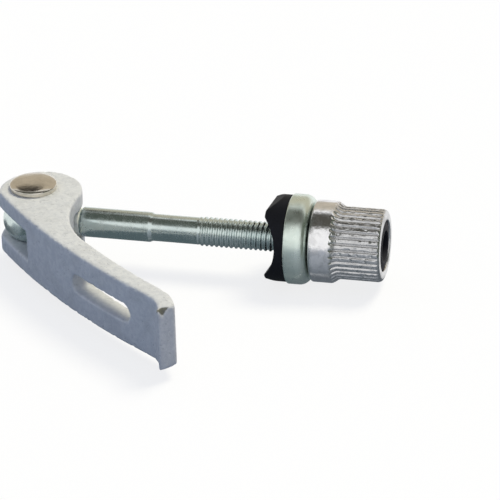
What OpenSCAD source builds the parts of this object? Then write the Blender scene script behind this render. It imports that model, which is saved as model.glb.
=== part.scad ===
// Quick-release seat binder bolt. Millimetres, +Z up, bolt along +X from the lever to the nut.
// The origin is on the bolt's axis, in the middle of the thick shank where the clamp sits.

/* [Bolt] */
// Diameter of the thick shank that the seat clamp slides on
shank_d = 6; // [4:0.02:8]
// Distance from the pivot to the start of the thick shank
shank_start = 9.1; // [8.5:0.1:12]
// Length of the thick shank
shank_l = 14.9; // [8:0.1:20]
// Diameter of the thinner shank next to the thread
blank_d = 5.46; // [3.6:0.02:5.6]
// Length of the thinner shank
blank_l = 9.4; // [3:0.1:14]
// Outside diameter of the thread
thread_d = 5.9; // [3.9:0.02:7]
// Distance from the pivot to the end of the bolt
bolt_l = 66; // [62:0.5:90]
// Chamfer at the ends of the shank and the thread
bolt_chamfer = 0.4; // [0.1:0.05:0.8]

/* [Eye of the bolt] */
// Largest diameter of the crowned eye
eye_d = 12.9; // [11:0.1:14]
// Diameter of the eye at its flat top and bottom
eye_rim_d = 10.4; // [9.4:0.1:11]
// Height of the eye between the cheeks
eye_h = 6; // [4:0.05:8]
// Diameter of the neck between eye and shank
neck_d = 4.2; // [3:0.1:5]

/* [Lever] */
// Height of the lever along the pivot
lever_h = 13.5; // [12:0.1:18]
// Length from the pivot to the end of the tip
lever_l = 58.2; // [55:0.1:62]
// Angle between bolt and lever as it lies
rest_angle = 42.5; // [42:0.5:120]
// Diameter of the round cam head
head_d = 16.8; // [15.5:0.1:18]
// Offset of the cam head from the pivot, towards the tip
cam_x = 1.55; // [0.5:0.05:2]
// Offset of the cam head from the pivot, towards the bolt
cam_y = 0.65; // [0:0.05:1.2]
// Distance from the pivot to where the outer face bulges most
belly_x = 24.9; // [20:0.1:28]
// Bulge of the outer face there, measured from the pivot
belly = 8.65; // [7.6:0.05:9]
// Radius of the blade's long curve
bend_r = 176.5; // [150:0.5:220]
// Thickness of the blade where it bulges most
blade_t = 4.5; // [4:0.1:6]
// Thickness of the blade before the curled tip
blade_tip_t = 3.5; // [3:0.1:4]
// Radius of the hollow between head and blade
neck_r = 20.6; // [16:0.2:24]

/* [Fork, window and tip] */
// Gap between the two cheeks
fork_gap = 6.2; // [4.1:0.05:8.2]
// Depth of the fork slot from the pivot towards the tip
fork_depth = 10.2; // [9.6:0.1:12]
// Slant of the slot's end, deeper on the bolt's side
fork_slant = 6.7; // [0:0.1:12]
// Distance from the pivot to the window's near end
window_start = 27.2; // [22:0.1:30]
// Length of the window
window_l = 18.7; // [8:0.1:20]
// Width of the window
window_w = 3.7; // [2:0.1:6]
// Distance from the pivot to where the tip starts to curl outwards
curl_x = 52.1; // [50:0.1:53]
// Radius of the hollow under the curled tip
curl_r = 7; // [6.8:0.1:12]
// Radius of the rounded back of the tip
tip_r = 10; // [8:0.1:14]
// Depth of the chip in the upper edge of the tip's end face
chip_x = 0.8; // [0.2:0.05:1.2]
// Width of the chip along that edge
chip_w = 2.6; // [0.5:0.1:3.2]
// Height of the chip down the end face
chip_z = 2.2; // [0.5:0.05:3]
// Distance of the chip's point from the lip's corner
chip_at = 1.6; // [0.5:0.05:2]

/* [Pivot rivet] */
// Diameter of the rivet's shank
rivet_d = 5; // [3.5:0.05:6.5]
// Diameter of the domed head
rivet_head_d = 9.5; // [8:0.1:11]
// Height of the straight rim of the head
rivet_rim_h = 1.15; // [0.4:0.1:1.6]
// Rise of the dome above the rim
rivet_dome_h = 0.55; // [0.2:0.05:1.2]
// Diameter of the formed foot
rivet_foot_d = 8.4; // [7:0.1:10]
// Height of the formed foot
rivet_foot_h = 1.1; // [0.6:0.1:1.6]

/* [Washers] */
// Diameter of the steel washer
washer_d = 18; // [14:0.1:22]
// Step from the steel washer's rim in to the pad's rim
pad_step = 0.3; // [0:0.05:1]
// Height of the pad over its horns
pad_t = 4.2; // [3.4:0.1:6]
// Thickness left under the pad's channel
pad_web = 1.75; // [1:0.05:2.4]
// Width that the taper takes off each horn's outer side at its top
horn_taper = 1.7; // [0.5:0.1:2.4]
// Height of the taper on each horn
horn_taper_h = 2.6; // [1:0.1:3.2]
// Radius of the round clamp that the pad's channel fits
channel_r = 8.5; // [7:0.1:12]
// Angle of the channel from the horizontal
pad_turn = -10; // [-90:1:90]
// Thickness of the steel washer
washer_t = 4.6; // [3:0.1:6]
// Radius of the steel washer's rounded edge
washer_round = 2.3; // [0.5:0.1:2.5]
// Chamfer of the steel washer's other edge
washer_chamfer = 0.3; // [0.1:0.05:0.8]
// Play of the washers on the bolt, in diameter
washer_play = 0.4; // [0.2:0.05:1]

/* [Nut] */
// Length of the nut
nut_l = 14.15; // [12:0.1:20]
// Diameter of the smooth collar
collar_d = 16.4; // [15.5:0.1:20]
// Length of the smooth collar
collar_l = 4; // [2.5:0.1:5]
// Length of the cone between collar and knurled body
cone_l = 1.8; // [1:0.1:2.5]
// Diameter of the knurled body
knurl_d = 14.5; // [13:0.1:15.3]
// Number of teeth of the straight knurl
teeth = 36; // [24:1:48]
// Depth of the knurl
tooth_h = 0.45; // [0.2:0.05:0.6]
// Share of each tooth that is its flat crest
crest_share = 0.4; // [0.2:0.05:0.6]
// Rounding of the nut's free end
end_round = 0.9; // [0.4:0.05:1.2]
// Edge chamfer of the collar
collar_chamfer = 0.35; // [0.1:0.05:0.8]
// Length of thread that is in the nut as it lies
thread_in_nut = 8.3; // [6:0.1:8.8]
// Gap between nut and steel washer as they lie
nut_gap = 0.3; // [0.1:0.05:1]

/* [Nylon insert] */
// Outside diameter of the insert
insert_d = 9.8; // [8.5:0.1:11]
// Length of the insert at its outside
insert_l = 3.9; // [2:0.1:4.4]
// Depth of the insert below the nut's end
insert_recess = 0.35; // [0.1:0.05:0.8]
// Rise of the insert's face towards its bore
insert_swell = 0.3; // [0:0.05:0.5]
// Width of the flat ring round the insert's bore
insert_land = 0.5; // [0.2:0.05:0.8]

/* [Fits] */
// Running gap between turning or sliding pieces, in radius
run_gap = 0.05; // [0.02:0.01:0.1]
// Gap between pieces that are fixed together, in radius
seat_gap = 0.02; // [0:0.01:0.05]

/* [Hidden] */
$fn = 96;
long_arc_fn = 720;
over = 1;

// Places along the bolt, from the pivot
neck_x = (rivet_d + eye_rim_d) / 4;
step_x = shank_start + shank_l;
step_l = 0.8;
blank_x = step_x + step_l;
thread_x = blank_x + blank_l;
nut_x = bolt_l - thread_in_nut;
washer_x = nut_x - nut_gap - washer_t;
pad_x = washer_x - pad_t;
pad_d = washer_d - 2 * pad_step;
grip_x = shank_start + shank_l / 2;

// Knurl grooves: width at the crest, bottom, and how far before the cone's end the body's groove starts,
// how far before the cone its own groove starts and how far before the cone's end it stops
groove_w = (1 - crest_share) * PI * knurl_d / teeth;
groove_r = knurl_d / 2 - tooth_h;
groove_lap = 0.2;
groove_lead = 1.5;
groove_short = 0.14;
cone_end = collar_l + cone_l;
cone_angle = atan2((collar_d - knurl_d) / 2, cone_l);
groove_from = (collar_l - groove_lead) / cos(cone_angle);
groove_to = (cone_end - groove_short) / cos(cone_angle);

// Circle that gives the eye its crown: through both rims and the widest point
crown_rise = (eye_d - eye_rim_d) / 2;
crown_r = (pow(eye_h / 2, 2) + pow(crown_rise, 2)) / (2 * crown_rise);

// Sphere of the rivet's dome
dome_r = (pow(rivet_head_d / 2, 2) + pow(rivet_dome_h, 2)) / (2 * rivet_dome_h);

// Lever outline, in the lever's own frame: +X to the tip, +Y to the bolt's side
cam_center = [cam_x, cam_y];
outer_center = [belly_x, bend_r - belly];
taper = (blade_t - blade_tip_t) / (curl_x - belly_x);
inner_center = outer_center + [taper * bend_r, blade_t];
neck_center = circles_meet(cam_center, head_d / 2 + neck_r, inner_center, bend_r - neck_r);
neck_out = neck_center + (neck_r + 3 * blade_t) * unit(neck_center - inner_center);
curl_center = beyond_curl(outer_center, curl_r);
tip_center = beyond_curl(inner_center, tip_r);
lip_y = curl_center[1] + sqrt(pow(curl_r, 2) - pow(lever_l - curl_center[0], 2));
window_mid = window_start + window_l / 2;
window_lean = asin((window_mid - outer_center[0]) / bend_r);
window_y = outer_center[1] - bend_r * cos(window_lean);

// Unit vector along v
function unit(v) = v / norm(v);

// The lower of the two points at distance r1 from c1 and r2 from c2, seen from c1 to c2
function circles_meet(c1, r1, c2, r2) =
    let (d = norm(c2 - c1), a = (r1 * r1 - r2 * r2 + d * d) / (2 * d), u = (c2 - c1) / d)
    c1 + a * u + sqrt(r1 * r1 - a * a) * [u[1], -u[0]];

// Centre of a circle of radius r that touches one of the blade's long curves where the tip starts to curl
function beyond_curl(c, r) =
    let (lean = asin((curl_x - c[0]) / bend_r))
    c + (bend_r + r) * [sin(lean), -cos(lean)];

// Turned solid about the bolt's axis from points [place along the bolt, radius]
module turned(points) {
    rotate([0, 90, 0]) rotate_extrude() polygon([for (p = points) [p[1], p[0]]]);
}

// Straight cylinder about the bolt's axis
module along_bolt(from, to, d) {
    translate([from, 0, 0]) rotate([0, 90, 0]) cylinder(d = d, h = to - from);
}

module eye() {
    rotate_extrude() intersection() {
        translate([0, -eye_h / 2]) square([eye_d, eye_h]);
        translate([eye_d / 2 - crown_r, 0]) circle(r = crown_r);
    }
}

module eye_bolt() {
    shank_r = shank_d / 2;
    blank_r = blank_d / 2;
    thread_r = thread_d / 2;
    color("#b9c4c1") difference() {
        union() {
            eye();
            turned([
                [neck_x, 0], [neck_x, neck_d / 2], [shank_start, neck_d / 2],
                [shank_start, shank_r - bolt_chamfer], [shank_start + bolt_chamfer, shank_r], [step_x, shank_r],
                [blank_x, blank_r], [thread_x, blank_r], [thread_x + bolt_chamfer, thread_r],
                [bolt_l - bolt_chamfer, thread_r], [bolt_l, thread_r - bolt_chamfer], [bolt_l, 0]
            ]);
        }
        translate([0, 0, -eye_h]) cylinder(d = rivet_d + 2 * run_gap, h = 2 * eye_h);
    }
}

module long_curve(center) {
    translate(center) circle(r = bend_r, $fn = long_arc_fn);
}

module within_outer_face() {
    intersection() {
        children();
        long_curve(outer_center);
    }
}

module slab() {
    linear_extrude(lever_h, center = true) children();
}

module lever_head() {
    translate(cam_center) circle(d = head_d);
    difference() {
        polygon([cam_center, neck_center, neck_out, [cam_x, neck_out[1]]]);
        translate(neck_center) circle(r = neck_r);
    }
}

module lever_blade() {
    difference() {
        translate([cam_x, neck_out[1]]) square([curl_x - cam_x, -neck_out[1]]);
        long_curve(inner_center);
    }
}

module lever_tip() {
    difference() {
        intersection() {
            translate([curl_x, curl_center[1]]) square([lever_l - curl_x, -curl_center[1]]);
            translate(tip_center) circle(r = tip_r);
        }
        translate(curl_center) circle(r = curl_r);
    }
}

module window() {
    translate([window_mid, window_y]) rotate([90, 0, window_lean])
        linear_extrude(4 * blade_t, center = true) {
            square([window_l - window_w, window_w], center = true);
            for (s = [-1, 1]) translate([s * (window_l - window_w) / 2, 0]) circle(d = window_w);
        }
}

// V notch whose bottom line slants from the end face up and inwards to the top face
module tip_chip() {
    run = norm([chip_x, chip_z]);
    rise = chip_x * chip_z / run;
    translate([lever_l, lip_y + chip_at, lever_h / 2 - chip_z])
        rotate([180, atan2(-chip_z, -chip_x), 0]) rotate([90, 0, 90]) linear_extrude(run + over)
            polygon([[0, 0], [chip_w, 2 * rise], [-chip_w, 2 * rise]]);
}

module cam_lever() {
    color("#d9dbda") rotate([0, 0, -rest_angle]) difference() {
        union() {
            slab() within_outer_face() lever_head();
            slab() within_outer_face() lever_blade();
            slab() lever_tip();
        }
        rotate([0, 0, -fork_slant]) translate([-head_d, -head_d, -fork_gap / 2])
            cube([head_d + fork_depth, 2 * head_d, fork_gap]);
        translate([0, 0, -lever_h]) cylinder(d = rivet_d + 2 * seat_gap, h = 2 * lever_h);
        window();
        tip_chip();
    }
}

module pivot_rivet() {
    cheek = lever_h / 2;
    head_r = rivet_head_d / 2;
    color("#c7b79a") {
        translate([0, 0, -cheek]) cylinder(d = rivet_d, h = lever_h);
        translate([0, 0, cheek]) rotate_extrude() {
            square([head_r, rivet_rim_h]);
            intersection() {
                translate([0, rivet_rim_h + rivet_dome_h - dome_r]) circle(r = dome_r);
                translate([0, rivet_rim_h]) square([head_r, rivet_dome_h]);
            }
        }
        translate([0, 0, -cheek - rivet_foot_h])
            cylinder(d1 = rivet_foot_d - rivet_foot_h, d2 = rivet_foot_d, h = rivet_foot_h);
    }
}

// Tapered outer side of one horn, taken off the pad on the side s
module horn_cut(s) {
    slope = horn_taper / horn_taper_h;
    rim = pad_d / 2;
    rotate([90, 0, 0]) linear_extrude(2 * pad_d, center = true)
        polygon([[-over, s * (rim - slope * (horn_taper_h + over))], [horn_taper_h, s * rim],
            [horn_taper_h, 2 * s * rim], [-over, 2 * s * rim]]);
}

module saddle_pad() {
    color("#1d1f24") translate([pad_x, 0, 0]) rotate([pad_turn, 0, 0]) difference() {
        along_bolt(0, pad_t, pad_d);
        along_bolt(-over, pad_t + over, shank_d + washer_play);
        translate([pad_t - pad_web - channel_r, 0, 0]) rotate([90, 0, 0])
            cylinder(r = channel_r, h = 2 * pad_d, center = true);
        horn_cut(1);
        horn_cut(-1);
    }
}

module steel_washer() {
    washer_r = washer_d / 2;
    color("#b3bcb6") translate([washer_x, 0, 0]) difference() {
        rotate([0, 90, 0]) rotate_extrude() difference() {
            square([washer_r, washer_t]);
            polygon([[washer_r - washer_chamfer, 0], [washer_r, washer_chamfer], [washer_r + over, 0],
                [washer_r, -over]]);
            difference() {
                translate([washer_r - washer_round, washer_t - washer_round]) square(washer_round + over);
                translate([washer_r - washer_round, washer_t - washer_round]) circle(r = washer_round);
            }
        }
        along_bolt(-over, washer_t + over, shank_d + washer_play);
    }
}

// V groove that lies along +X with its sharp bottom on the X axis
module groove(length) {
    rotate([90, 0, 90]) linear_extrude(length)
        polygon([[0, 0], [groove_w, 2 * tooth_h], [-groove_w, 2 * tooth_h]]);
}

module nut_blank() {
    collar_r = collar_d / 2;
    knurl_r = knurl_d / 2;
    rotate([0, 90, 0]) rotate_extrude() {
        polygon([
            [0, 0], [collar_r - collar_chamfer, 0], [collar_r, collar_chamfer], [collar_r, collar_l],
            [knurl_r, cone_end], [knurl_r, nut_l - end_round], [knurl_r - end_round, nut_l - end_round],
            [knurl_r - end_round, nut_l], [0, nut_l]
        ]);
        translate([knurl_r - end_round, nut_l - end_round]) circle(r = end_round);
    }
}

// Each groove runs down the cone and then along the body
module knurl() {
    for (i = [0 : teeth - 1]) rotate([i * 360 / teeth, 0, 0]) {
        translate([cone_end - groove_lap, 0, groove_r]) groove(nut_l);
        translate([0, 0, groove_r + cone_end * tan(cone_angle)]) rotate([0, cone_angle, 0])
            translate([groove_from, 0, 0]) groove(groove_to - groove_from);
    }
}

module knurled_nut() {
    color("#dfe1e6") translate([nut_x, 0, 0]) difference() {
        nut_blank();
        knurl();
        along_bolt(-over, nut_l + over, thread_d + 2 * run_gap);
        along_bolt(nut_l - insert_recess - insert_l - seat_gap, nut_l + over, insert_d + 2 * seat_gap);
    }
}

module nylon_insert() {
    bore_r = thread_d / 2 + run_gap;
    seat_x = nut_x + nut_l - insert_recess - insert_l;
    color("#17181b") difference() {
        turned([[seat_x, 0], [seat_x, insert_d / 2], [seat_x + insert_l, insert_d / 2],
            [seat_x + insert_l + insert_swell, bore_r + insert_land], [seat_x + insert_l + insert_swell, 0]]);
        along_bolt(seat_x - over, seat_x + insert_l + insert_swell + over, 2 * bore_r);
    }
}

translate([-grip_x, 0, 0]) {
    eye_bolt();
    cam_lever();
    pivot_rivet();
    saddle_pad();
    steel_washer();
    knurled_nut();
    nylon_insert();
}
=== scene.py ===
"""Looks of the quick-release seat binder bolt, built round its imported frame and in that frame's axes."""

import math

import bpy
import bmesh
import numpy as np
from mathutils import Matrix, Vector, noise


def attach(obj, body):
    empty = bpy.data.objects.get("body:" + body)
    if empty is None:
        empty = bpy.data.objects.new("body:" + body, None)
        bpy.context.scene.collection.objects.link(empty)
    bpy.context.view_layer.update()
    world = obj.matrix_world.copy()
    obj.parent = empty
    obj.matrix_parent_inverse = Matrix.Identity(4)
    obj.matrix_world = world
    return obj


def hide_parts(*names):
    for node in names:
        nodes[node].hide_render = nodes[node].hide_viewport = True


MM = 0.001
TURN = 2 * math.pi

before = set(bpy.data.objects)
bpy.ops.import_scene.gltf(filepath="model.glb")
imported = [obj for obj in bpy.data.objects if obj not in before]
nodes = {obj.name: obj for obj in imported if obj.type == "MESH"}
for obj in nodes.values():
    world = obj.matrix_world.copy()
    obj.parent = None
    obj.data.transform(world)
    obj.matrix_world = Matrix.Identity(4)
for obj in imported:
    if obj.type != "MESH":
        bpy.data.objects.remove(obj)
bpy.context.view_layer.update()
scene = bpy.context.scene

# Camera, found from the straight edges and circles of the object
AZIMUTH = math.radians(13.546)
ELEVATION = math.radians(27.963)
ROLL = math.radians(1.745)
DISTANCE = 803.63 * MM
ASIDE = 43.267 * MM
BELOW = 6.544 * MM
LENS = 287.24

# Sizes of the pieces are in millimetres, and places along the bolt count from the lever's pivot
GRIP_X = 16.55
PIVOT = Vector((-GRIP_X, 0, 0)) * MM

# Bolt
NECK_START = 3.6
NECK_R = 2.1
FLANGE_START = 7.0
FLANGE_RISE = 1.2
FLANGE_END = 9.75
FLANGE_R = 2.75
GROOVE_W = 0.25
GROOVE_R = 2.3
SHANK_R = 3.0
SHANK_ROUND = 0.3
SHANK_END = 24.0
STEP_L = 0.8
BLANK_R = 2.73
THREAD_START = 34.2
THREAD_LEAD = 0.6
THREAD_FADE = 1.4
THREAD_R = 2.95
ROOT_R = 2.66
PITCH = 1
BOLT_END = 66
BOLT_CHAMFER = 0.6

# Eye of the bolt
EYE_HALF_H = 3.0
EYE_RIM_R = 5.2
EYE_R = 6.45
EYE_BORE_R = 2.55
EYE_CHAMFER = 0.2

# Lever, in its own frame: X to the tip, Y to the bolt's side, Z up
REST_ANGLE = math.radians(42.5)
LEVER_L = 58.2
HALF_H = 6.75
TIP_SHIFT = Vector((-0.3, -0.4, 0))
TIP_BEND_L = 9
TIP_SOFT_L = 4
CHIP_Y = -7.0
CHIP_HALF_W = 1.65
CHIP_REACH = 1.2

# Nut
NUT_START = 57.7
NUT_L = 14.15
NUT_BORE_R = 3.0
COLLAR_R = 8.2
FACE_ROUND = 0.35
CONE_START = 3.85
CONE_END = 5.8
KNURL_R = 7.25
TEETH = 36
TOOTH_H = 0.34
TOOTH_START = 4.0
TOOTH_RUN = 0.7
END_ROUND = 0.9
POCKET_R = 5.12
POCKET_DEPTH = 4.27


def add_object(name, data):
    obj = bpy.data.objects.new(name, data)
    scene.collection.objects.link(obj)
    return obj


def camera_axes():
    """Right, up and back of the camera."""
    sa, ca = math.sin(AZIMUTH), math.cos(AZIMUTH)
    se, ce = math.sin(ELEVATION), math.cos(ELEVATION)
    back = Vector((sa * ce, -ca * ce, se))
    level = Vector((ca, sa, 0))
    rise = Vector((-se * sa, se * ca, ce))
    right = math.cos(ROLL) * level - math.sin(ROLL) * rise
    up = math.sin(ROLL) * level + math.cos(ROLL) * rise
    return right, up, back


def place_camera():
    """Camera at the photo's viewing angle, aimed beside the lever's pivot."""
    right, up, back = camera_axes()
    data = bpy.data.cameras.new("camera")
    data.sensor_width = 36
    data.lens = LENS
    data.clip_start = 0.05
    data.clip_end = 20
    camera = add_object("camera", data)
    matrix = Matrix((right, up, back)).transposed().to_4x4()
    matrix.translation = PIVOT + ASIDE * right - BELOW * up + DISTANCE * back
    camera.matrix_world = matrix
    scene.camera = camera


class Graph:
    """A small helper that adds and joins shader nodes."""

    def __init__(self, tree):
        self.tree = tree
        tree.nodes.clear()

    def add(self, kind, settings=None, **inputs):
        node = self.tree.nodes.new("ShaderNode" + kind)
        for key, value in (settings or {}).items():
            setattr(node, key, value)
        for key, value in inputs.items():
            self.feed(node.inputs[key.replace("_", " ")], value)
        return node

    def feed(self, socket, value):
        if isinstance(value, bpy.types.NodeSocket):
            self.tree.links.new(value, socket)
        elif isinstance(value, (tuple, list)) and len(value) == 3 and socket.type == "RGBA":
            socket.default_value = (*value, 1)
        else:
            socket.default_value = value

    def feed_in_order(self, node, values):
        for socket, value in zip(node.inputs, values):
            self.feed(socket, value)

    def place(self):
        """Position on the object, in metres."""
        return self.add("TexCoord").outputs["Object"]

    def along_bolt(self):
        """Distance from the lever's pivot along the bolt, in metres."""
        return self.math("ADD", self.split(self.place())["X"], GRIP_X * MM)

    def noise(self, scale, detail=4, rough=0.55):
        """Cloud pattern; scale is its repeats a metre."""
        node = self.add("TexNoise", Vector=self.place(), Scale=scale, Detail=detail, Roughness=rough)
        return node.outputs["Fac"]

    def ramp(self, value, low, high, bottom=0.0, top=1.0):
        """value from low..high to bottom..top, smooth and clamped."""
        node = self.add("MapRange", {"interpolation_type": "SMOOTHSTEP"})
        self.feed_in_order(node, (value, low, high, bottom, top))
        return node.outputs["Result"]

    def math(self, operation, a, b=0.0):
        node = self.add("Math", {"operation": operation})
        self.feed_in_order(node, (a, b))
        return node.outputs[0]

    def times(self, a, b):
        return self.math("MULTIPLY", a, b)

    def mix(self, share, a, b):
        """Colour a where share is 0, b where it is 1."""
        node = self.add("MixRGB")
        self.feed_in_order(node, (share, a, b))
        return node.outputs[0]

    def blend(self, share, a, b):
        """Shader a where share is 0, b where it is 1."""
        node = self.add("MixShader")
        self.feed_in_order(node, (share, a, b))
        return node.outputs[0]

    def bump(self, height, depth):
        return self.add("Bump", Strength=1.0, Distance=depth * MM, Height=height).outputs["Normal"]

    def split(self, vector):
        return self.add("SeparateXYZ", Vector=vector).outputs

    def edges(self, radius, low, high):
        """1 on sharp edges, 0 on flat faces."""
        soft = self.add("Bevel", {"samples": 6}, Radius=radius * MM).outputs["Normal"]
        true = self.add("NewGeometry").outputs["True Normal"]
        turn = self.add("VectorMath", {"operation": "DOT_PRODUCT"})
        self.feed_in_order(turn, (soft, true))
        return self.ramp(turn.outputs["Value"], high, low)

    def glow(self, color):
        return self.add("Emission", Color=color, Strength=1.0).outputs[0]

    def surface(self, shader, output="OutputMaterial"):
        self.feed(self.add(output).inputs["Surface"], shader)

    def principled(self, **inputs):
        self.surface(self.add("BsdfPrincipled", **inputs).outputs[0])


def material(name):
    """New material and the graph that fills it."""
    made = bpy.data.materials.new(name)
    made.use_nodes = True
    return made, Graph(made.node_tree)


def chip_dent_shade(g):
    """1 in the chip at the tip, which lies deeper than the faces round it; the dark tone mixed in there is
    painted shade in the dent.
    """
    about_z = {"rotation_type": "Z_AXIS"}
    turned = g.add("VectorRotate", about_z, Center=PIVOT, Angle=REST_ANGLE, Vector=g.place())
    x, y, z = g.split(turned.outputs["Vector"])
    skin, below_skin, blur, narrowing = 0.08 * MM, 0.22 * MM, 0.2 * MM, 0.6
    from_end = g.math("SUBTRACT", (LEVER_L + TIP_SHIFT.x - GRIP_X) * MM, x)
    from_top = g.math("SUBTRACT", HALF_H * MM, z)
    deep = g.ramp(g.math("MINIMUM", from_end, from_top), skin, below_skin)
    aside = g.math("ABSOLUTE", g.math("SUBTRACT", y, (CHIP_Y + TIP_SHIFT.y) * MM))
    beside = g.math("ADD", aside, g.times(from_top, narrowing))
    within = g.ramp(beside, CHIP_HALF_W * MM, CHIP_HALF_W * MM - blur)
    near = g.ramp(from_end, CHIP_REACH * MM, CHIP_REACH * MM - blur)
    return g.times(deep, g.times(within, near))


def lacquer():
    """Silver-white lacquer on a casting: orange peel, pits, worn edges, and painted shade in the chip at the
    tip.
    """
    made, g = material("silver_lacquer")
    grey, white, cloudy = (0.665, 0.675, 0.665), (0.77, 0.775, 0.75), (0.58, 0.585, 0.565)
    # The last of these tones is painted shade for the chip's dent at the tip.
    pitted, rubbed, dent_shade_tone = (0.40, 0.41, 0.40), (0.20, 0.20, 0.17), (0.17, 0.17, 0.135)
    cast = g.noise(260, 3, 0.5)
    coarse = g.noise(900, 5, 0.65)
    fine = g.noise(3200, 3, 0.6)
    pits = g.ramp(g.noise(1300, 2, 0.5), 0.62, 0.70)
    wear = g.ramp(g.noise(560, 4, 0.6), 0.53, 0.62)
    worn = g.times(g.edges(0.5, 0.86, 0.985), wear)
    base = g.mix(g.ramp(coarse, 0.34, 0.66), grey, white)
    base = g.mix(g.times(g.ramp(cast, 0.45, 0.7), 0.35), base, cloudy)
    base = g.mix(g.times(pits, 0.3), base, pitted)
    base = g.mix(g.times(worn, 0.6), base, rubbed)
    # Painted shade: the chip's dent is darkened as if in its own shadow.
    base = g.mix(chip_dent_shade(g), base, dent_shade_tone)
    height = g.math("ADD", g.times(coarse, 0.7), g.times(fine, 0.3))
    height = g.math("SUBTRACT", height, g.times(pits, 0.5))
    height = g.math("SUBTRACT", height, g.times(worn, 0.6))
    g.principled(Base_Color=base, Metallic=0.12, Roughness=g.ramp(fine, 0.3, 0.7, 0.36, 0.56),
                 Specular_IOR_Level=0.4, Normal=g.bump(height, 0.1))
    return made


def zinc(name, tints, rough, grit, lines=0.0, neck=None):
    """Zinc-plated steel between two tints; lines adds turning marks, neck paints a highlight on the neck as a
    pale, less metallic and rougher colour.
    """
    made, g = material(name)
    spots = g.noise(700, 4, 0.65)
    height = g.noise(2400, 3, 0.6)
    dark = tuple(0.5 * c for c in tints[0])
    base = g.mix(g.ramp(g.noise(160, 4, 0.6), 0.35, 0.65), *tints)
    base = g.mix(g.times(g.ramp(spots, 0.56, 0.68), 0.16), base, dark)
    if lines:
        line_pitch = 0.28 * MM
        turned = g.math("SINE", g.times(g.split(g.place())["X"], TURN / line_pitch))
        height = g.math("ADD", g.times(height, 0.6), g.times(turned, lines))
    dull = g.ramp(spots, 0.35, 0.7, rough - 0.03, rough + 0.09)
    metal = 1.0
    # Painted highlight: the neck from the eye to the groove gets a pale colour, less metalness and more
    # roughness so that it shows bright.
    if neck:
        x = g.along_bolt()
        past_eye = g.ramp(x, (EYE_R - 0.05) * MM, (EYE_R + 0.35) * MM)
        before_groove = g.ramp(x, FLANGE_END * MM, (FLANGE_END - 0.05) * MM)
        neck_highlight_share = g.times(past_eye, before_groove)
        base = g.mix(neck_highlight_share, base, neck)
        dull = g.math("ADD", dull, g.times(neck_highlight_share, 0.25))
        metal = g.math("SUBTRACT", 1.0, g.times(neck_highlight_share, 0.85))
    g.principled(Base_Color=base, Metallic=metal, Roughness=dull, Normal=g.bump(height, grit))
    return made


def nickel():
    """Polished nickel plating of the rivet, lightly rubbed."""
    made, g = material("nickel")
    deep, pale = (0.64, 0.60, 0.53), (0.72, 0.68, 0.61)
    base = g.mix(g.ramp(g.noise(300, 4, 0.6), 0.35, 0.65), deep, pale)
    rough = g.ramp(g.noise(900, 4, 0.65), 0.35, 0.7, 0.13, 0.24)
    g.principled(Base_Color=base, Metallic=1.0, Roughness=rough, Normal=g.bump(g.noise(650, 3), 0.02))
    return made


def chrome():
    """Chrome plating, bright and uneven on the collar and satin on the knurl."""
    made, g = material("chrome")
    deep, pale = (0.78, 0.78, 0.80), (0.88, 0.88, 0.885)
    dulled, satin = (0.50, 0.50, 0.505), (0.58, 0.58, 0.58)
    knurl_from = (NUT_START + TOOTH_START + 0.1) * MM
    knurl_full = knurl_from + 1 * MM
    dull = g.ramp(g.noise(480, 4, 0.6), 0.42, 0.62)
    knurled = g.ramp(g.along_bolt(), knurl_from, knurl_full)
    base = g.mix(g.ramp(g.noise(220, 4, 0.6), 0.35, 0.65), deep, pale)
    base = g.mix(g.times(dull, 0.3), base, dulled)
    base = g.mix(g.times(knurled, 0.75), base, satin)
    height = g.math("ADD", g.times(g.noise(620, 4, 0.65), 0.75), g.times(g.noise(2600, 3, 0.6), 0.25))
    rough = g.math("ADD", g.ramp(dull, 0, 1, 0.12, 0.24), g.times(knurled, 0.12))
    g.principled(Base_Color=base, Metallic=1.0, Roughness=rough, Normal=g.bump(height, 0.06))
    return made


def black_plastic(name, tone, rough, gloss):
    """Matt black plastic, cloudy between the tone and a paler one."""
    made, g = material(name)
    paler = tuple(1.5 * c for c in tone)
    base = g.mix(g.ramp(g.noise(200, 4), 0.35, 0.65), tone, paler)
    g.principled(Base_Color=base, Metallic=0.0, Roughness=rough, Specular_IOR_Level=gloss,
                 Normal=g.bump(g.noise(1500, 4, 0.6), 0.03))
    return made


def object_from(bm, name):
    """New object from a finished bmesh."""
    mesh = bpy.data.meshes.new(name)
    bm.to_mesh(mesh)
    bm.free()
    return add_object(name, mesh)


def shade_smooth(mesh):
    for face in mesh.polygons:
        face.use_smooth = True


def ring(place, radius, sides, along="X"):
    """Circle of points round the bolt's axis (X) or the rivet's (Z); radius may depend on the angle."""
    points = []
    for j in range(sides):
        angle = TURN * j / sides
        r = radius(angle) if callable(radius) else radius
        a, b = r * math.cos(angle), r * math.sin(angle)
        point = (place, -a, b) if along == "X" else (a, b, place)
        points.append(PIVOT + Vector(point) * MM)
    return points


def ring_mesh(name, rings, closed_profile):
    """Mesh from rings of points, each closed on itself; an open row of rings gets a cap at both ends."""
    bm = bmesh.new()
    rows = [[bm.verts.new(p) for p in points] for points in rings]
    count = len(rows[0])
    last = len(rows) if closed_profile else len(rows) - 1
    for i in range(last):
        a, b = rows[i], rows[(i + 1) % len(rows)]
        for j in range(count):
            k = (j + 1) % count
            bm.faces.new((a[j], a[k], b[k], b[j]))
    for row in () if closed_profile else (rows[0], rows[-1]):
        middle = bm.verts.new(sum((v.co for v in row), Vector()) / count)
        for j in range(count):
            bm.faces.new((row[j], row[(j + 1) % count], middle))
    bmesh.ops.recalc_face_normals(bm, faces=bm.faces)
    obj = object_from(bm, name)
    shade_smooth(obj.data)
    return obj


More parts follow.
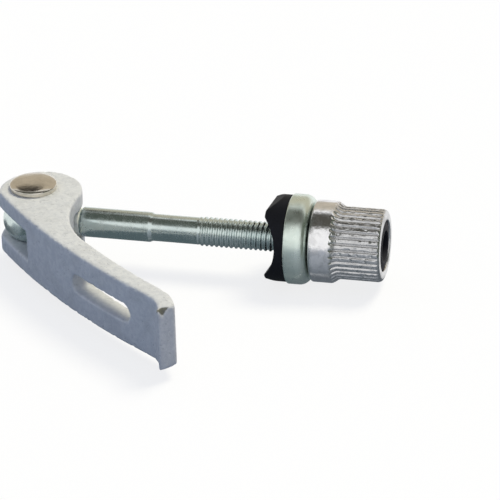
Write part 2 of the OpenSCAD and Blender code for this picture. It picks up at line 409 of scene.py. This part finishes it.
def rounded(corners, steps):
    """Closed outline of (u, v) points from corners (u, v, radius), each corner rounded by an arc."""
    outline = []
    count = len(corners)
    for i, (u, v, radius) in enumerate(corners):
        here = Vector((u, v))
        before = Vector(corners[i - 1][:2]) - here
        after = Vector(corners[(i + 1) % count][:2]) - here
        if radius == 0:
            outline.append(here)
            continue
        half = before.angle(after) / 2
        middle = here + (before.normalized() + after.normalized()).normalized() * radius / math.sin(half)
        start = here + before.normalized() * radius / math.tan(half) - middle
        end = here + after.normalized() * radius / math.tan(half) - middle
        sweep = start.angle_signed(end)
        for k in range(steps + 1):
            turn = Matrix.Rotation(-sweep * k / steps, 2)
            outline.append(middle + turn @ start)
    return outline


def lathe(name, corners, sides, along="X", steps=6, closed_profile=True):
    """Turned piece from corners (place along the axis, radius, rounding)."""
    rings = [ring(place, radius, sides, along) for place, radius in rounded(corners, steps)]
    return ring_mesh(name, rings, closed_profile)


def join(name, objects):
    """One object from several, which are removed."""
    bm = bmesh.new()
    for obj in objects:
        bm.from_mesh(obj.data)
        bpy.data.objects.remove(obj, do_unlink=True)
    made = object_from(bm, name)
    shade_smooth(made.data)
    return made


def smoothstep(t):
    """t from 0..1 eased at both ends and clamped."""
    t = min(1.0, max(0.0, t))
    return t * t * (3 - 2 * t)


def spread(start, stop, step):
    """Evenly spaced places from start to stop, both included, about a step apart."""
    return list(np.linspace(start, stop, round((stop - start) / step) + 1))


def arc_drop(left, radius):
    """How far a rounding has fallen away at a distance left from its end."""
    return radius - math.sqrt(radius ** 2 - (radius - left) ** 2)


def neck_radius(x):
    """Radius of the neck, shaped by forging, which swells to a low flange and drops a little at its edge."""
    swell = smoothstep((x - FLANGE_START) / FLANGE_RISE)
    edge = 0.25 * smoothstep((x - FLANGE_END) / GROOVE_W + 1)
    return NECK_R + (FLANGE_R - NECK_R) * swell * (1 - edge)


def plain_radius(x):
    """Radius of the bolt before its thread: neck, groove, thick shank and blank."""
    shank_start = FLANGE_END + GROOVE_W
    if x < FLANGE_END:
        return neck_radius(x)
    if x < shank_start:
        return GROOVE_R
    if x < shank_start + GROOVE_W:
        return SHANK_R - SHANK_ROUND * arc_drop((x - shank_start) / GROOVE_W, 1)
    return SHANK_R + (BLANK_R - SHANK_R) * smoothstep((x - SHANK_END) / STEP_L)


def thread_radius(x, angle):
    """Radius on a right-hand thread: flat crests and rounded roots, fading in from the blank."""
    root_share, flank_share, end_share = 0.22, 0.62, 0.86
    phase = ((x - THREAD_START) / PITCH - angle / TURN + 0.25) % 1.0
    side = abs(phase - 0.5) * 2
    crest = smoothstep((side - root_share) / flank_share)
    fade = smoothstep((x - THREAD_START + THREAD_LEAD) / THREAD_FADE)
    low = BLANK_R + (ROOT_R - BLANK_R) * fade
    high = BLANK_R + (THREAD_R - BLANK_R) * fade
    end = smoothstep((BOLT_END - x) / BOLT_CHAMFER)
    return (low + (high - low) * crest) * (end_share + (1 - end_share) * end)


def make_shank():
    """Neck, shank and thread from rings that stand closer where the outline changes."""
    sides, thread_step = 72, PITCH / 12
    fine_from, fine_to = FLANGE_END - 0.25, FLANGE_END + 0.55
    thread_from = THREAD_START - THREAD_LEAD - 0.2
    plain = spread(NECK_START, fine_from - 0.1, 0.2) + spread(fine_from, fine_to, 0.04)
    plain += [SHANK_END - before for before in (12, 8, 4, 0.4)]
    plain += spread(SHANK_END, SHANK_END + STEP_L + 0.1, 0.1)
    plain += [thread_from - before for before in (6.4, 2.4, 0.2)]
    rings = [ring(x, plain_radius(x), sides) for x in plain]
    for i in range(int((BOLT_END - thread_from) / thread_step) + 1):
        x = thread_from + i * thread_step
        rings.append(ring(x, lambda angle, x=x: thread_radius(x, angle), sides))
    return ring_mesh("shank", rings, closed_profile=False)


def make_eye():
    """Eye with a crowned rim, pierced for the rivet."""
    rise = EYE_R - EYE_RIM_R
    crown = (EYE_HALF_H ** 2 + rise ** 2) / (2 * rise)
    reach = 0.985 * math.asin(EYE_HALF_H / crown)
    side = [(EYE_HALF_H - EYE_CHAMFER, EYE_BORE_R), (EYE_HALF_H, EYE_BORE_R + EYE_CHAMFER)]
    profile = [(-z, r) for z, r in side]
    for angle in spread(-reach, reach, reach / 6):
        profile.append((crown * math.sin(angle), EYE_R - crown + crown * math.cos(angle)))
    profile += reversed(side)
    return ring_mesh("eye", [ring(z, r, 96, "Z") for z, r in profile], closed_profile=True)


def make_bolt():
    return join("threaded_eye_bolt", [make_shank(), make_eye()])


def relax(mesh, rounds, share):
    """Pull each point towards its neighbours' middle, by its own share."""
    count = len(mesh.vertices)
    flat = np.empty(count * 3)
    mesh.vertices.foreach_get("co", flat)
    points = flat.reshape(count, 3)
    pairs = np.empty(len(mesh.edges) * 2, dtype=np.int64)
    mesh.edges.foreach_get("vertices", pairs)
    a, b = pairs.reshape(-1, 2).T
    ends, starts = np.concatenate((a, b)), np.concatenate((b, a))
    near = np.maximum(np.bincount(ends, minlength=count), 1)
    for _ in range(rounds):
        sums = [np.bincount(ends, points[starts, k], count) for k in range(3)]
        middle = np.stack(sums, 1) / near[:, None]
        points = points + np.reshape(share, (-1, 1)) * (middle - points)
    mesh.vertices.foreach_set("co", points.ravel())
    mesh.update()


def cast_copy(node, name, voxel, rounds):
    """Copy of a CAD node's mesh with the soft edges of a casting or moulding."""
    obj = add_object(name, nodes[node].data.copy())
    obj.matrix_world = nodes[node].matrix_world.copy()
    remesh = obj.modifiers.new("remesh", "REMESH")
    remesh.mode = "VOXEL"
    remesh.voxel_size = voxel * MM
    settled = obj.evaluated_get(bpy.context.evaluated_depsgraph_get())
    made = bpy.data.meshes.new_from_object(settled)
    obj.modifiers.clear()
    obj.data = made
    relax(made, rounds, 0.5)
    shade_smooth(made)
    return obj


def lever_place(obj, vertex):
    """Place of a vertex in the lever's own frame."""
    point = obj.matrix_world @ vertex.co
    return Matrix.Rotation(REST_ANGLE, 3, "Z") @ (point - PIVOT) / MM


def tip_share(at):
    """1 on the tip, whose edges are rounder, 0 on the blade and at the chip."""
    chip_clear, run = 1.6, 1.2
    tip = smoothstep((at.x - LEVER_L + TIP_SOFT_L) / (TIP_SOFT_L - 1))
    chip = (at - Vector((LEVER_L, CHIP_Y, HALF_H))).length
    return tip * smoothstep((chip - chip_clear) / run)


def chip_edges(mesh, depth, edge_bulge):
    """Knock small dents into convex edges, where points bulge out from their neighbours' middle."""
    coarse, fine, quiet = 900, 2300, 0.18
    near = [[] for _ in mesh.vertices]
    for edge in mesh.edges:
        a, b = edge.vertices
        near[a].append(b)
        near[b].append(a)
    old = [v.co.copy() for v in mesh.vertices]
    normals = [v.normal.copy() for v in mesh.vertices]
    for i, around in enumerate(near):
        middle = sum((old[k] for k in around), Vector()) / len(around)
        bulge = (old[i] - middle).dot(normals[i]) / MM
        on_edge = smoothstep(bulge / edge_bulge - 1)
        if on_edge == 0:
            continue
        dent = noise.noise(old[i] * coarse) + 0.5 * noise.noise(old[i] * fine)
        mesh.vertices[i].co = old[i] - normals[i] * on_edge * depth * MM * max(0, dent - quiet)


def make_lever():
    """Cast lever with soft edges, a rounder tip, small dents and the tip moved to its place in the photo."""
    lever = cast_copy("cam_lever", "cast_lever_body", voxel=0.205, rounds=7)
    mesh = lever.data
    tip = np.array([tip_share(lever_place(lever, v)) for v in mesh.vertices])
    relax(mesh, 25, 0.5 * tip)
    chip_edges(mesh, depth=0.26, edge_bulge=0.005)
    relax(mesh, 2, 0.4)
    shift = Matrix.Rotation(-REST_ANGLE, 3, "Z") @ TIP_SHIFT * MM
    for v in mesh.vertices:
        v.co += shift * smoothstep((lever_place(lever, v).x - LEVER_L) / TIP_BEND_L + 1)
    return lever


def make_rivet():
    """Rivet through both cheeks: formed foot below, domed head above."""
    shank_r, foot_r, foot_end, undercut = 2.5, 4.2, 7.85, 0.55
    head_r, rim, top, rim_round = 4.75, 7.9, 8.45, 0.5
    rise = top - rim
    dome = (head_r ** 2 + rise ** 2) / (2 * rise)
    corners = [(-foot_end, 0.3, 0), (-foot_end, foot_r, 0.35), (-HALF_H, foot_r - undercut, 0),
               (-HALF_H, shank_r, 0), (HALF_H, shank_r, 0), (HALF_H, head_r - 0.08, 0.05),
               (rim - 0.15, head_r, 0.3)]
    dome_steps = 10
    for i in range(dome_steps):
        r = (head_r - rim_round) * (1 - i / dome_steps)
        corners.append((top - dome + math.sqrt(dome ** 2 - r ** 2), r, 0))
    return lathe("pivot_rivet_domed", corners, 96, along="Z", closed_profile=False)


def make_washer():
    length, bore_r, outer_r, nut_gap = 4.6, 3.2, 9, 0.3
    end = NUT_START - nut_gap
    start = end - length
    corners = [(start, bore_r, 0.15), (start, outer_r, 0.3), (end, outer_r, 2.2), (end, bore_r, 0.3)]
    return lathe("steel_washer_turned", corners, 144, steps=10)


def tooth(angle):
    """Height share of the straight knurl at an angle: 1 on a crest, 0 in a groove."""
    phase = (angle / TURN * TEETH) % 1.0
    side = abs(phase - 0.5) * 2
    groove_share, flank_share = 0.06, 0.4
    return smoothstep((side - groove_share) / flank_share)


def nut_radius(x, angle):
    """Outer radius of the nut at distance x from its face: collar, cone and worn knurl."""
    if x < FACE_ROUND:
        return COLLAR_R - arc_drop(x, FACE_ROUND)
    if x <= CONE_START:
        return COLLAR_R
    share = smoothstep((x - CONE_START) / (CONE_END - CONE_START))
    radius = COLLAR_R + (KNURL_R - COLLAR_R) * share
    left = NUT_L - x
    from_end = left - 0.1
    depth = TOOTH_H * smoothstep((x - TOOTH_START) / TOOTH_RUN) * smoothstep(from_end / TOOTH_RUN)
    spot = 0.8 * Vector((x, radius * math.cos(angle), radius * math.sin(angle)))
    worn = 0.55 * noise.noise(spot * 1.6) + 0.4 * noise.noise(spot * 3.7)
    radius -= depth * (1 - tooth(angle)) + depth * tooth(angle) * max(0, worn)
    if left < END_ROUND:
        radius -= arc_drop(left, END_ROUND)
    return radius


def make_nut():
    """Outside from the collar's face to the rounded end, then the pocket, the bore and back to the face."""
    sides = TEETH * 12
    quarter = TURN / 4
    places = [FACE_ROUND * (1 - math.cos(quarter * i / 5)) for i in range(6)]
    places += [1, 2, 3, 3.7] + spread(CONE_START, 5.85, 0.1) + spread(6, 13.2, 0.2)
    places += [NUT_L - END_ROUND + END_ROUND * math.sin(quarter * i / 8) for i in range(1, 9)]
    rings = [ring(NUT_START + x, lambda angle, x=x: nut_radius(x, angle), sides) for x in places]
    floor = NUT_L - POCKET_DEPTH
    lip = [(NUT_L, 5.7), (NUT_L, 5.3), (NUT_L - 0.06, 5.18)]
    pocket = [(NUT_L - 0.2, POCKET_R), (floor, POCKET_R), (floor, NUT_BORE_R), (0, NUT_BORE_R)]
    face = [(0, 4.5), (0, 6.8), (0, 7.5)]
    rings += [ring(NUT_START + x, r, sides) for x, r in lip + pocket + face]
    return ring_mesh("knurled_nut_turned", rings, closed_profile=True)


def make_insert():
    """Black locking ring in the nut's pocket."""
    gap = 0.02
    nut_end = NUT_START + NUT_L
    start, rim, front = nut_end - POCKET_DEPTH + gap, nut_end - 0.3, nut_end - 0.05
    outer_r, bore_r, land_r = POCKET_R - gap, NUT_BORE_R + gap, 3.5
    corners = [(start, bore_r, 0), (start, outer_r, 0.1), (rim, outer_r, 0.12), (front, land_r, 0.2),
               (front, bore_r, 0.12)]
    return lathe("locking_ring", corners, 96)


def dress(obj, look):
    """Give an object one material."""
    obj.data.materials.clear()
    obj.data.materials.append(look)


def stand_in(obj, node, body, look):
    """The dressed piece takes the CAD node's place on its body."""
    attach(obj, body)
    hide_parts(node)
    dress(obj, look)
    dress(nodes[node], look)


def dress_bolt():
    # The neck colour given here is a painted highlight on the bolt's neck.
    look = zinc("zinc_bolt", ((0.58, 0.675, 0.665), (0.66, 0.74, 0.72)), rough=0.22, grit=0.003,
                neck=(0.93, 0.95, 0.85))
    stand_in(make_bolt(), "eye_bolt", "bolt", look)


def dress_pad():
    look = black_plastic("black_plastic", (0.006, 0.0065, 0.009), rough=0.65, gloss=0.2)
    pad = cast_copy("saddle_pad", "saddle_pad_moulded", voxel=0.12, rounds=6)
    stand_in(pad, "saddle_pad", "saddle", look)


def dress_washer():
    look = zinc("zinc_washer", ((0.70, 0.80, 0.74), (0.78, 0.86, 0.79)), rough=0.3, grit=0.008,
                lines=0.25)
    stand_in(make_washer(), "steel_washer", "washer", look)


def dress_insert():
    look = black_plastic("black_nylon", (0.022, 0.022, 0.026), rough=0.6, gloss=0.08)
    stand_in(make_insert(), "nylon_insert", "nut", look)


def set_world():
    """White to the eye and in reflections, a cool even light otherwise."""
    world = bpy.data.worlds.new("studio")
    scene.world = world
    world.use_nodes = True
    g = Graph(world.node_tree)
    path = g.add("LightPath").outputs
    bounced = g.math("MAXIMUM", path["Is Glossy Ray"], path["Is Transmission Ray"])
    seen = g.math("MAXIMUM", path["Is Camera Ray"], bounced)
    white = g.add("Background", Color=(1, 1, 1), Strength=1.0).outputs[0]
    cool = g.add("Background", Color=(0.328, 0.388, 0.54), Strength=0.9).outputs[0]
    g.surface(g.blend(seen, cool, white), "OutputWorld")


def sun(name, toward, color, strength, angle):
    data = bpy.data.lights.new(name, "SUN")
    data.color = color
    data.energy = strength
    data.angle = math.radians(angle)
    lamp = add_object(name, data)
    lamp.visible_glossy = False
    lamp.rotation_euler = Vector(toward).to_track_quat("Z", "Y").to_euler()


def flat_card(name, corners, look):
    """One flat face with a material."""
    bm = bmesh.new()
    bm.faces.new([bm.verts.new(corner) for corner in corners])
    obj = object_from(bm, name)
    dress(obj, look)
    return obj


def lay_floor():
    """Pale floor under the lowest piece: white to the eye, with the object's soft shadow on it."""
    size, level = 3, -9.3 * MM
    lit_share = 0.8
    cool_bounce, pale = (0.215, 0.27, 0.395), (0.95, 0.95, 0.95)
    made, g = material("pale_floor")
    seen = g.add("LightPath").outputs["Is Camera Ray"]
    paper = g.add("BsdfDiffuse", Color=g.mix(seen, cool_bounce, pale)).outputs[0]
    g.surface(g.blend(g.times(seen, lit_share), paper, g.glow((1, 1, 1))))
    corners = [(x * size, y * size, level) for x, y in ((-1, -1), (1, -1), (1, 1), (-1, 1))]
    obj = flat_card("floor", corners, made)
    obj.visible_glossy = False


def reflected_only(obj):
    """Hide a card from everything but reflections."""
    for kind in ("camera", "diffuse", "transmission", "volume_scatter", "shadow"):
        setattr(obj, "visible_" + kind, False)


def side_card():
    """Dark card beyond the nut's end, seen only in the roundings that look that way."""
    half, low, high, away = 0.3, -0.2, 0.35, 0.5
    made, g = material("side_card")
    g.surface(g.glow((0.11, 0.13, 0.10)))
    corners = [(away, y * half, z) for y, z in ((-1, low), (1, low), (1, high), (-1, high))]
    reflected_only(flat_card("side_card", corners, made))


def card_look(name, color, top, soft):
    """Glow from color to top across the card, fading out at both edges over the share soft."""
    made, g = material(name)
    across = g.split(g.add("TexCoord").outputs["UV"])["X"]
    cover = g.times(g.ramp(across, 0, soft), g.ramp(across, 1, 1 - soft))
    clear = g.add("BsdfTransparent").outputs[0]
    g.surface(g.blend(cover, clear, g.glow(g.mix(across, color, top))))
    return made


def card(name, low, high, color, soft=0.2, far=0.6, span=(-1.6, 1.6), top=None):
    """A coloured card along the bolt between two angles, 0 in front and 90 above; only reflections see it."""
    steps = 24
    bm = bmesh.new()
    layer = bm.loops.layers.uv.new("across")
    rows = []
    for angle in spread(math.radians(low), math.radians(high), math.radians(high - low) / steps):
        y, z = -far * math.cos(angle), far * math.sin(angle)
        rows.append([bm.verts.new((x, y, z)) for x in span])
    for i in range(steps):
        face = bm.faces.new((rows[i][0], rows[i][1], rows[i + 1][1], rows[i + 1][0]))
        for loop, row in zip(face.loops, (i, i, i + 1, i + 1)):
            loop[layer].uv = (row / steps, 0.5)
    obj = object_from(bm, name)
    dress(obj, card_look(name, color, top or color, soft))
    reflected_only(obj)


place_camera()

dress_bolt()
stand_in(make_lever(), "cam_lever", "lever", lacquer())
stand_in(make_rivet(), "pivot_rivet", "lever", nickel())
dress_pad()
dress_washer()
stand_in(make_nut(), "knurled_nut", "nut", chrome())
dress_insert()

set_world()
sun("key", (0.35, 0.35, 1.0), (1.0, 0.93, 0.72), 2.55, 25)
sun("fill", (1.0, -0.6, 0.15), (1.0, 0.7, 0.35), 0.25, 40)
lay_floor()
side_card()
card("overhead_card", 56, 118, (0.09, 0.087, 0.075))
card("low_card", -88, 8, (0.12, 0.145, 0.165), soft=0.12, far=0.62, top=(0.46, 0.49, 0.54))
card("bolt_low_card", -150, 20, (0.115, 0.145, 0.16), soft=0.13, far=0.15, span=(-0.12, -0.002))
card("bolt_high_card", 42, 104, (0.11, 0.12, 0.105), soft=0.15, far=0.15, span=(-0.12, -0.002))
card("under_card", -150, -80, (0.14, 0.16, 0.18), soft=0.1, far=0.64)
card("back_card", 118, 176, (0.58, 0.52, 0.42), far=0.64)
card("rivet_card", 108, 142, (0.05, 0.045, 0.04), soft=0.3, far=0.15, span=(-0.09, -0.03))

scene.view_settings.view_transform = "Standard"
